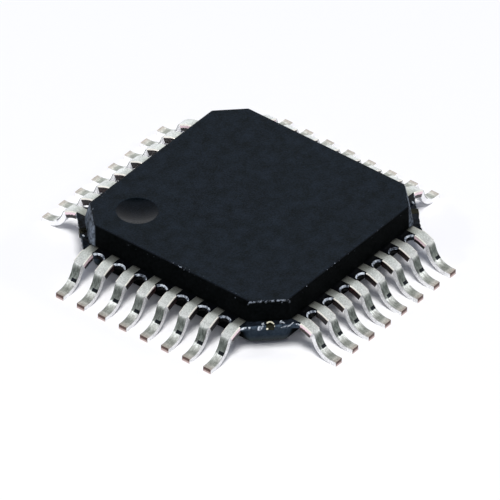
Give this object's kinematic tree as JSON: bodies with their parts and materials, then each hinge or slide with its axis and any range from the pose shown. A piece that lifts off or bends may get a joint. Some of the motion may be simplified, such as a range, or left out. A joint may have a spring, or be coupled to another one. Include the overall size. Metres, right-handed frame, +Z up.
{
  "type": "quad flat pack chip",
  "caption": "Thin square moulded chip with bent leads on all four sides, a dish that marks the first lead, and its die, paddle and bond wires inside.",
  "frame": {"origin": "centre of the seating plane, under the middle of the moulding", "axes": "+Z up, away from the board; the dish that marks lead 1 is in the -X, +Y corner; leads 1 to 8 leave along -X, 9 to 16 along -Y, 17 to 24 along +X and 25 to 32 along +Y"},
  "size_m": [0.007, 0.007, 0.001],
  "materials": {
    "resin": "matte moulding resin with a fine grain",
    "plated_lead": "satin tin plating",
    "copper_frame": "bare copper alloy, satin",
    "die_attach": "silver-filled adhesive, matte",
    "silicon": "polished silicon",
    "gold_wire": "bright gold"
  },
  "bodies": {
    "root": {"mould_body": "resin", "lead_01": "plated_lead", "lead_02": "plated_lead", "lead_03": "plated_lead", "lead_04": "plated_lead", "lead_05": "plated_lead", "lead_06": "plated_lead", "lead_07": "plated_lead", "lead_08": "plated_lead", "lead_09": "plated_lead", "lead_10": "plated_lead", "lead_11": "plated_lead", "lead_12": "plated_lead", "lead_13": "plated_lead", "lead_14": "plated_lead", "lead_15": "plated_lead", "lead_16": "plated_lead", "lead_17": "plated_lead", "lead_18": "plated_lead", "lead_19": "plated_lead", "lead_20": "plated_lead", "lead_21": "plated_lead", "lead_22": "plated_lead", "lead_23": "plated_lead", "lead_24": "plated_lead", "lead_25": "plated_lead", "lead_26": "plated_lead", "lead_27": "plated_lead", "lead_28": "plated_lead", "lead_29": "plated_lead", "lead_30": "plated_lead", "lead_31": "plated_lead", "lead_32": "plated_lead", "die_paddle": "copper_frame", "die_bond": "die_attach", "die": "silicon", "bond_wires_1": "gold_wire", "bond_wires_2": "gold_wire", "bond_wires_3": "gold_wire", "bond_wires_4": "gold_wire"}
  },
  "joints": []
}
